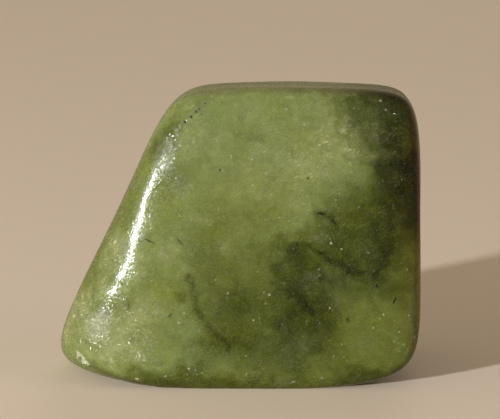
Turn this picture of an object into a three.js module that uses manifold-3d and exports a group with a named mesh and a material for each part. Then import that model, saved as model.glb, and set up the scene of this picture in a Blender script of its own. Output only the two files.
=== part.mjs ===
// A tumbled and polished stone of green nephrite jade, standing on the flat under its lower face.
// Millimetres, +Z up, +X across the broad face, which looks towards -Y.
// The origin lies on the surface that the stone stands on, under the middle of the stone.
import * as THREE from 'three';
import { mergeVertices } from 'three/addons/utils/BufferGeometryUtils.js';
import Module from 'manifold-3d';

// The stone is a block whose faces a tumbler has rounded into one another.
// Each face has a turn in degrees (0 looks to the front, 90 to the right),
// an upward tilt in degrees, and its distance in mm from the heart of the stone.
const heart = new THREE.Vector3(0.43, -0.24, 13);
const faces = [
  { name: 'front', turn: 0, tilt: 5, distance: 7.6 },
  { name: 'back', turn: 177, tilt: 6, distance: 7.5 },
  { name: 'left', turn: -97, tilt: 25, distance: 11.15 },
  { name: 'right', turn: 84, tilt: 2, distance: 16.5 },
  { name: 'right rear', turn: 100, tilt: -1, distance: 16.6 },
  { name: 'top', turn: 180, tilt: 84, distance: 13.3 },
  { name: 'base', turn: 0, tilt: -90, distance: 13.3 },
  { name: 'left front bevel', turn: -45, tilt: 18.5, distance: 12 },
  { name: 'upper left bevel', turn: -92, tilt: 58, distance: 15 },
  { name: 'upper right bevel', turn: 90, tilt: 50, distance: 20.8 },
  { name: 'left rear bevel', turn: -138, tilt: 12, distance: 13 },
  { name: 'lower left bevel', turn: -78, tilt: -38, distance: 21.4 },
  { name: 'lower left rear bevel', turn: -125, tilt: -36, distance: 20.4 },
  { name: 'lower front left bevel', turn: -34, tilt: -46, distance: 18.3 },
  { name: 'lower right bevel', turn: 90, tilt: -60, distance: 17.6 },
];
const edgeSharpness = 14; // about 2 mm of rounding where two faces meet square

// Slow swells that the tumbler leaves in the faces: the direction that each runs in,
// its length from crest to crest and its height above and below the face, in mm.
const swells = [
  { along: [1, 0.2, 0.5], length: 13, height: 0.035, start: 0.3 },
  { along: [0.5, -0.3, -1], length: 10.5, height: 0.03, start: 1.9 },
  { along: [-0.3, 1, 0.6], length: 9, height: 0.03, start: 4.2 },
  { along: [1, 0.7, -0.8], length: 7.5, height: 0.018, start: 2.6 },
];

// Two scars where flakes broke off at the lower left corner, the smaller just below the larger:
// the middle, the way that the scar runs, half its length, half its width and its depth, in mm.
const chips = [
  { at: [-14.2, -7, 2.35], along: [1, -0.3, -1], halfLength: 1.1, halfWidth: 0.6, depth: 0.22 },
  { at: [-13.5, -6.4, 1.2], along: [1, -0.4, -0.6], halfLength: 0.7, halfWidth: 0.5, depth: 0.1 },
];

const gridSteps = 26; // cells across each side of the block that the surface is laid out on
const gridCrowding = 0.8; // 0 spreads the cells evenly, 1 crowds them against the edges
const blockHalf = new THREE.Vector3(15.5, 8, 13); // half the block's width, depth and height
const floorDepth = 4; // thickness of the slab that takes off what lies below the surface stood on
const floorReach = 0.08; // corners this near to that surface are brought onto it, so no slivers are cut

const jadeGreen = 0x82803f;

function direction(turn, tilt) {
  const turnAngle = THREE.MathUtils.degToRad(turn);
  const tiltAngle = THREE.MathUtils.degToRad(tilt);
  const level = Math.cos(tiltAngle);
  return new THREE.Vector3(Math.sin(turnAngle) * level, -Math.cos(turnAngle) * level, Math.sin(tiltAngle));
}

// How far the rounded surface lies from the heart of the stone, along a direction.
function reach(way) {
  let sum = 0;
  for (const face of faces) {
    const lean = Math.max(0, face.normal.dot(way)) / face.distance;
    sum += lean ** edgeSharpness;
  }
  return sum ** (-1 / edgeSharpness);
}

function swell(point) {
  let height = 0;
  for (const wave of swells) {
    height += wave.height * Math.sin((2 * Math.PI * wave.direction.dot(point)) / wave.length + wave.start);
  }
  return height;
}

// The depth of the chips at a point: deepest in the middle, nothing outside the scar.
function chipDepth(point) {
  let depth = 0;
  for (const chip of chips) {
    const offset = point.clone().sub(chip.middle);
    const lengthwise = offset.dot(chip.direction);
    const sideways = Math.sqrt(Math.max(0, offset.lengthSq() - lengthwise ** 2));
    const spread = (lengthwise / chip.halfLength) ** 2 + (sideways / chip.halfWidth) ** 2;
    depth += chip.depth * Math.max(0, 1 - spread);
  }
  return depth;
}

// A box of even cells becomes the stone: each corner is crowded towards the block's edges
// and then sent out from the heart to the rounded surface.
function stoneSurface() {
  const geometry = new THREE.BoxGeometry(2, 2, 2, gridSteps, gridSteps, gridSteps);
  const corners = geometry.getAttribute('position');
  const bend = (Math.PI / 2) * gridCrowding;
  const crowd = (value) => Math.sin(bend * value) / Math.sin(bend);
  const point = new THREE.Vector3();
  for (let index = 0; index < corners.count; index += 1) {
    point.fromBufferAttribute(corners, index);
    const way = new THREE.Vector3(crowd(point.x), crowd(point.y), crowd(point.z)).multiply(blockHalf).normalize();
    point.copy(way).multiplyScalar(reach(way)).add(heart);
    point.addScaledVector(way, swell(point) - chipDepth(point));
    point.z = Math.abs(point.z) < floorReach ? 0 : point.z;
    corners.setXYZ(index, point.x, point.y, point.z);
  }
  return geometry;
}

function mergedSurface(geometry) {
  const surface = geometry.clone();
  surface.deleteAttribute('normal');
  surface.deleteAttribute('uv');
  return mergeVertices(surface, 1e-4);
}

function solidFrom(library, geometry) {
  const surface = mergedSurface(geometry);
  const vertProperties = new Float32Array(surface.getAttribute('position').array);
  const triVerts = new Uint32Array(surface.index.array);
  return new library.Manifold(new library.Mesh({ numProp: 3, vertProperties, triVerts }));
}

function geometryFrom(solid) {
  const mesh = solid.getMesh();
  const geometry = new THREE.BufferGeometry();
  geometry.setAttribute('position', new THREE.BufferAttribute(new Float32Array(mesh.vertProperties), 3));
  geometry.setIndex(new THREE.BufferAttribute(new Uint32Array(mesh.triVerts), 1));
  return geometry;
}

// Cuts the stone level where it stands, and sets it with the middle of its box over the origin.
function standingStone(library) {
  const width = 4 * blockHalf.x;
  const ground = new THREE.BoxGeometry(width, width, floorDepth).translate(0, 0, -floorDepth / 2);
  const geometry = geometryFrom(solidFrom(library, stoneSurface()).subtract(solidFrom(library, ground)));
  geometry.computeBoundingBox();
  const middle = geometry.boundingBox.getCenter(new THREE.Vector3());
  geometry.translate(-middle.x, -middle.y, 0);
  geometry.computeVertexNormals();
  return geometry;
}

const library = await Module();
library.setup();

for (const face of faces) {
  face.normal = direction(face.turn, face.tilt);
}
for (const wave of swells) {
  wave.direction = new THREE.Vector3(...wave.along).normalize();
}
for (const chip of chips) {
  chip.middle = new THREE.Vector3(...chip.at);
  chip.direction = new THREE.Vector3(...chip.along).normalize();
}

const jade = new THREE.MeshStandardMaterial({ color: jadeGreen, roughness: 0.18, metalness: 0 });
const stone = new THREE.Mesh(standingStone(library), jade);
stone.name = 'stone';

const part = new THREE.Group();
part.add(stone);

export default part;
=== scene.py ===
import bmesh
import bpy
import math
import numpy as np
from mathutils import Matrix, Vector, kdtree, noise


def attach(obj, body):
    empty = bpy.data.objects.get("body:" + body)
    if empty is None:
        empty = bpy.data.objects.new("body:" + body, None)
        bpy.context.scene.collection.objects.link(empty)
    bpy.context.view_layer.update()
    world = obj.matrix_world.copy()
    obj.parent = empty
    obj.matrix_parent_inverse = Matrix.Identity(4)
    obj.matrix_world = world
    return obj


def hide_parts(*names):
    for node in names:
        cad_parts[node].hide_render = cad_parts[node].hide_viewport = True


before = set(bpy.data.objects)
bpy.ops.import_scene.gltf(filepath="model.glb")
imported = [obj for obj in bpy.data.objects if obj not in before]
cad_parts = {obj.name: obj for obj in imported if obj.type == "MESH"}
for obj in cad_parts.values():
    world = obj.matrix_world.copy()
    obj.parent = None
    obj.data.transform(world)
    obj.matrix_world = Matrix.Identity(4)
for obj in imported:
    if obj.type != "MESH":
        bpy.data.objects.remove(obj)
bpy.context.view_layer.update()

# A tumbled and polished stone of green nephrite jade.
# Metres, +Z up, and the broad face looks towards -Y. The lists and dictionaries are in mm and degrees.
mm = 0.001

pebble = {
    "driftSeed": 3,  # the clouds wander the same way each time
    "mergeDistance": 0.001,
    "floorGap": 0.001,  # what lies lower than this stands on the floor and stays flat
    "quadTurn": 40,  # two triangles become one face if they turn less than this from each other
    "quadSkew": 60,
    "smoothLevels": 2,
    "waves": [(3.6, 0.022), (1.5, 0.004)],  # length and height of the unevenness that the tumbler leaves
    "waveStart": (7, 3, 5),
    "floorBand": 0.5,  # the unevenness fades out this far above the surface the stone stands on
    "breakRings": (1.35, 1.15, 1.0),  # the mesh is cut finer out to this many times the size of a break,
    "pitRings": (2.6, 1.9, 1.5),  # and of a pit
    "breakNear": 2,  # a corner further away than this many times the size is left alone
    "pitNear": 3,
    "breakRag": (3.2, 0.30),  # ragged rims of the breaks: scale per mm and reach
    "breakCrumb": (3.0, 0.5),  # uneven floors of the breaks: scale per mm and share of the depth
    "breakRim": 3.0,  # how soon the pale colour fills a break from its rim inwards
    "pitRim": 2.0,  # and the dark colour a pit
}

# Shallow hollows that the tumbler left on and around the left front bevel: the middle, the half sizes
# across, deep and high, and the depth. The two with a depth below 0 are swellings, the last one on the
# right side.
hollows = [
    ((-11.6, -6.9, 11.3), (2.8, 2.8, 2.8), 0.19),
    ((-6.3, -7.0, 17.7), (2.7, 2.7, 3.3), 0.235),
    ((-8.8, -7.3, 15.3), (1.5, 1.8, 2.6), 0.04),
    ((-7.9, -7.2, 18.8), (1.7, 1.8, 2.2), -0.045),
    ((-7.9, -7.3, 16.8), (1.5, 2.0, 2.7), 0.06),
    ((-10.4, -7.1, 12.9), (1.3, 1.8, 1.4), 0.04),
    ((-10.0, -7.7, 9.9), (1.3, 1.8, 1.3), 0.045),
    ((-12.3, -7.0, 8.8), (1.9, 1.8, 2.0), 0.03),
    ((-3.4, -6.8, 25.8), (9.5, 3.0, 6.4), 0.50),
    ((-12.2, -7.7, 3.8), (5.6, 3.4, 5.6), 0.42),
    ((16.6, -2.0, 17.5), (4.0, 8.0, 9.5), -0.24),
]

# Places where a grain fell out and left a dark pit: the middle, the radius and the depth.
pits = [
    ((-3.1, -6.2, 25.9), 0.13, 0.06),
    ((-3.5, -6.5, 25.3), 0.12, 0.05),
    ((-3.8, -6.5, 25.1), 0.14, 0.07),
    ((-4.4, -6.5, 24.6), 0.16, 0.08),
    ((-3.4, -6.7, 24.7), 0.10, 0.05),
    ((-5.0, -6.5, 24.0), 0.15, 0.07),
    ((-3.4, -3.6, 26.4), 0.12, 0.05),
    ((-1.7, -7.3, 19.8), 0.12, 0.06),
    ((14.7, -7.0, 20.3), 0.12, 0.06),
    ((14.4, -7.2, 18.9), 0.11, 0.05),
    ((12.3, -7.3, 18.7), 0.12, 0.05),
    ((7.2, -8.5, 6.25), 0.11, 0.05),
    ((-4.2, 8.3, 12.4), 0.14, 0.06),  # on the back
    ((3.8, 7.6, 21.5), 0.13, 0.06),
    ((4.7, 7.7, 20.9), 0.10, 0.05),
    ((9.4, 8.2, 7.8), 0.15, 0.07),
    ((-9.0, 7.6, 7.0), 0.12, 0.05),
    ((12.4, 7.6, 14.2), 0.12, 0.05),
    ((0.6, 8.3, 5.2), 0.13, 0.06),
    ((16.3, 2.6, 14.2), 0.14, 0.06),  # on the right side
    ((16.3, -2.4, 8.4), 0.12, 0.05),
    ((16.2, -4.6, 20.8), 0.12, 0.05),
    ((-11.0, -1.8, 14.6), 0.14, 0.06),  # on the left side
    ((-13.6, 3.2, 8.6), 0.12, 0.05),
    ((-9.4, 2.4, 18.4), 0.12, 0.05),
    ((2.6, 1.0, 26.7), 0.13, 0.06),  # on the top
    ((8.6, 3.6, 26.6), 0.14, 0.06),
    ((-1.8, 4.0, 26.4), 0.11, 0.05),
]

# Fresh breaks with a pale, unpolished floor: the middle, the way the break runs,
# half its length, half its width and its depth.
breaks = [
    {"at": (-14.6, -6.35, 2.7), "along": (0.3, -0.1, -1.0), "length": 0.42, "width": 0.28, "depth": 0.12},
    {"at": (-14.1, -6.5, 2.1), "along": (0.7, -0.1, -0.7), "length": 0.70, "width": 0.36, "depth": 0.16},
    {"at": (-14.4, -6.4, 2.4), "along": (0.5, -0.1, -0.9), "length": 0.42, "width": 0.24, "depth": 0.12},
    {"at": (-13.6, -6.6, 1.9), "along": (1.0, 0.0, -0.3), "length": 0.36, "width": 0.20, "depth": 0.08},
    {"at": (-14.35, -6.7, 4.0), "along": (0.2, 0.0, -1.0), "length": 0.26, "width": 0.13, "depth": 0.05},
    {"at": (-9.2, -8.3, 0.8), "along": (1.0, 0.0, 0.1), "length": 0.24, "width": 0.13, "depth": 0.05},
    {"at": (-6.9, -8.7, 1.1), "along": (1.0, 0.0, 0.2), "length": 0.25, "width": 0.12, "depth": 0.05},
    {"at": (5.1, -8.7, 0.6), "along": (1.0, 0.0, 0.0), "length": 0.4, "width": 0.1, "depth": 0.05},
    # on the back and at its corners
    {"at": (13.8, 6.8, 24.6), "along": (0.5, -0.4, -0.8), "length": 0.55, "width": 0.26, "depth": 0.1},
    {"at": (-12.8, 6.2, 2.4), "along": (1.0, 0.3, -0.3), "length": 0.6, "width": 0.32, "depth": 0.12},
    {"at": (15.6, 5.2, 3.0), "along": (0.2, -0.4, 1.0), "length": 0.36, "width": 0.2, "depth": 0.08},
    {"at": (-5.6, 6.6, 22.6), "along": (0.6, 0.0, 0.8), "length": 0.3, "width": 0.16, "depth": 0.06},
    {"at": (5.5, 8.6, 0.9), "along": (1.0, 0.0, 0.1), "length": 0.36, "width": 0.15, "depth": 0.06},
]


# 1 in the middle of a scar and 0 from its rim outwards
def scooped(point, middle, along, halfLength, halfWidth):
    offset = point - Vector(middle)
    lengthwise = offset.dot(along)
    sideways = max(0.0, offset.length_squared - lengthwise ** 2)
    return max(0.0, 1 - (lengthwise / halfLength) ** 2 - sideways / halfWidth ** 2)


def mergedStone():
    shape = bmesh.new()
    shape.from_mesh(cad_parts["stone"].data)
    bmesh.ops.remove_doubles(shape, verts=shape.verts, dist=pebble["mergeDistance"] * mm)
    floorGap = pebble["floorGap"] * mm
    flat = [face for face in shape.faces if max(corner.co.z for corner in face.verts) < floorGap]
    bmesh.ops.dissolve_faces(shape, faces=flat)
    bmesh.ops.join_triangles(
        shape,
        faces=[face for face in shape.faces if len(face.verts) == 3],
        angle_face_threshold=math.radians(pebble["quadTurn"]),
        angle_shape_threshold=math.radians(pebble["quadSkew"]),
    )
    crease = shape.edges.layers.float.new("crease_edge")
    for face in shape.faces:
        if len(face.verts) > 4:  # the flat that the stone stands on
            for edge in face.edges:
                edge[crease] = 1.0
    print("stone: merged, faces", len(shape.faces))
    return shape


def smoothed(shape):
    mesh = bpy.data.meshes.new("polishedStone")
    shape.to_mesh(mesh)
    shape.free()
    stone = bpy.data.objects.new("polishedStone", mesh)
    bpy.context.scene.collection.objects.link(stone)
    rounding = stone.modifiers.new("rounding", "SUBSURF")
    rounding.levels = rounding.render_levels = pebble["smoothLevels"]
    bpy.context.view_layer.objects.active = stone
    bpy.ops.object.modifier_apply(modifier="rounding")
    print("stone: rounded")
    return stone


def cornerTree(shape):
    tree = kdtree.KDTree(len(shape.verts))
    shape.verts.index_update()
    for corner in shape.verts:
        tree.insert(corner.co, corner.index)
    tree.balance()
    return tree


# cuts every edge near the spots in two; each spot starts with its middle and its size
def refine(shape, spots, ring):
    tree = cornerTree(shape)
    near = set()
    for middle, size, *rest in spots:
        near.update(found[1] for found in tree.find_range(Vector(middle) * mm, size * ring * mm))
    cut = [edge for edge in shape.edges if edge.verts[0].index in near or edge.verts[1].index in near]
    bmesh.ops.subdivide_edges(shape, edges=cut, cuts=1, use_grid_fill=True)


def carve(stone):
    shape = bmesh.new()
    shape.from_mesh(stone.data)
    tree = cornerTree(shape)

    # the corner of the mesh nearest to a point
    def settled(middle):
        return tree.find(Vector(middle) * mm)[0] / mm

    holes = [(settled(middle), radius, depth) for middle, radius, depth in pits]
    scars = []
    for scar in breaks:
        along = Vector(scar["along"]).normalized()
        scars.append((settled(scar["at"]), scar["length"], scar["width"], scar["depth"], along))
    for ring in pebble["breakRings"]:
        refine(shape, scars, ring)
    for ring in pebble["pitRings"]:
        refine(shape, holes, ring)
    bmesh.ops.triangulate(shape, faces=[face for face in shape.faces if len(face.verts) > 4])
    shape.normal_update()
    pitLayer = shape.verts.layers.float.new("pit")
    breakLayer = shape.verts.layers.float.new("freshBreak")
    upwards = Vector((0, 0, 1))
    waveStart = Vector(pebble["waveStart"])
    ragScale, ragReach = pebble["breakRag"]
    crumbScale, crumbShare = pebble["breakCrumb"]
    moves = []
    for corner in shape.verts:
        point = corner.co / mm
        inward = 0.0
        fade = min(1.0, max(0.0, point.z / pebble["floorBand"]))
        for length, height in pebble["waves"]:
            inward += height * fade * (0.5 + 0.5 * noise.noise(point / length + waveStart))
        for middle, size, depth in hollows:
            away = sum((there / half) ** 2 for there, half in zip(point - Vector(middle), size))
            inward += depth * max(0.0, 1 - away) ** 2
        pitted = 0.0
        for middle, radius, depth in holes:
            if (point - middle).length < pebble["pitNear"] * radius:
                deep = scooped(point, middle, upwards, radius, radius)
                inward += depth * deep
                pitted = max(pitted, min(1.0, pebble["pitRim"] * deep))
        broken = 0.0
        for middle, halfLength, halfWidth, depth, along in scars:
            if (point - middle).length < pebble["breakNear"] * halfLength:
                ragged = point + ragReach * noise.noise_vector(point * ragScale)
                deep = scooped(ragged, middle, along, halfLength, halfWidth)
                inward += depth * math.sqrt(deep) * (1 + crumbShare * noise.noise(point * crumbScale))
                broken = max(broken, min(1.0, pebble["breakRim"] * deep))
        corner[pitLayer] = pitted
        corner[breakLayer] = broken
        moves.append(-inward * mm)
    floorGap = pebble["floorGap"] * mm
    for corner, move in zip(shape.verts, moves):
        if corner.co.z > floorGap:
            corner.co += corner.normal * move
            corner.co.z = max(0.0, corner.co.z)
    shape.to_mesh(stone.data)
    shape.free()
    stone.data.shade_smooth()
    for face in stone.data.polygons:
        if abs(face.normal.z) > 0.9999 and face.center.z < floorGap:  # the flat under the stone
            face.use_smooth = False
    print("stone: hollows, pits and breaks carved")


def addNode(tree, kind, inputs=None, **settings):
    node = tree.nodes.new(kind)
    for name, value in settings.items():
        setattr(node, name, value)
    for name, value in (inputs or {}).items():
        if isinstance(value, bpy.types.NodeSocket):
            tree.links.new(value, node.inputs[name])
        else:
            node.inputs[name].default_value = value
    return node


def calc(tree, operation, first, second):
    return addNode(tree, "ShaderNodeMath", {0: first, 1: second}, operation=operation).outputs[0]


def vectorCalc(tree, operation, first, second):
    inputs = {0: first, "Scale" if operation == "SCALE" else 1: second}
    node = addNode(tree, "ShaderNodeVectorMath", inputs, operation=operation)
    return node.outputs["Value" if operation in ("DISTANCE", "DOT_PRODUCT") else "Vector"]


def ranged(tree, value, low, high, toLow=0.0, toHigh=1.0, steps="SMOOTHSTEP"):
    inputs = {"Value": value, "From Min": low, "From Max": high, "To Min": toLow, "To Max": toHigh}
    return addNode(tree, "ShaderNodeMapRange", inputs, interpolation_type=steps).outputs[0]


def blend(tree, amount, first, second, mode="MIX"):
    node = addNode(tree, "ShaderNodeMix", data_type="RGBA", blend_type=mode)
    for index, value in ((0, amount), (6, first), (7, second)):
        if isinstance(value, bpy.types.NodeSocket):
            tree.links.new(value, node.inputs[index])
        else:
            node.inputs[index].default_value = value if index == 0 else (*value, 1.0)
    return node.outputs[2]


def grey(tree, value):
    return addNode(tree, "ShaderNodeCombineColor", {0: value, 1: value, 2: value}).outputs[0]


# a cover that was laid out on the mesh
def painted(tree, name):
    return addNode(tree, "ShaderNodeAttribute", attribute_name=name).outputs["Fac"]


# texture is a scale per mm, a detail and a roughness
def noised(tree, place, texture):
    scale, detail, roughness = texture
    inputs = {"Vector": place, "Scale": scale, "Detail": detail, "Roughness": roughness}
    return addNode(tree, "ShaderNodeTexNoise", inputs)


# a place that wanders; drift is a scale per mm and a reach
def drifted(tree, place, drift):
    scale, reach = drift
    colour = noised(tree, place, (scale, 3.0, 0.55)).outputs["Color"]
    moved = vectorCalc(tree, "SCALE", vectorCalc(tree, "SUBTRACT", colour, (0.5, 0.5, 0.5)), reach)
    return vectorCalc(tree, "ADD", place, moved)


# a place seen from a middle, turned by its lean and measured in its size
def turned(tree, place, lean, size, middle=(0, 0, 0)):
    inputs = {"Vector": place, "Location": middle, "Rotation": (0, math.radians(lean), 0), "Scale": size}
    return addNode(tree, "ShaderNodeMapping", inputs, vector_type="TEXTURE").outputs[0]


def cells(tree, place, scale=1.0):
    return addNode(tree, "ShaderNodeTexVoronoi", {"Vector": place, "Scale": scale, "Randomness": 1.0})


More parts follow.
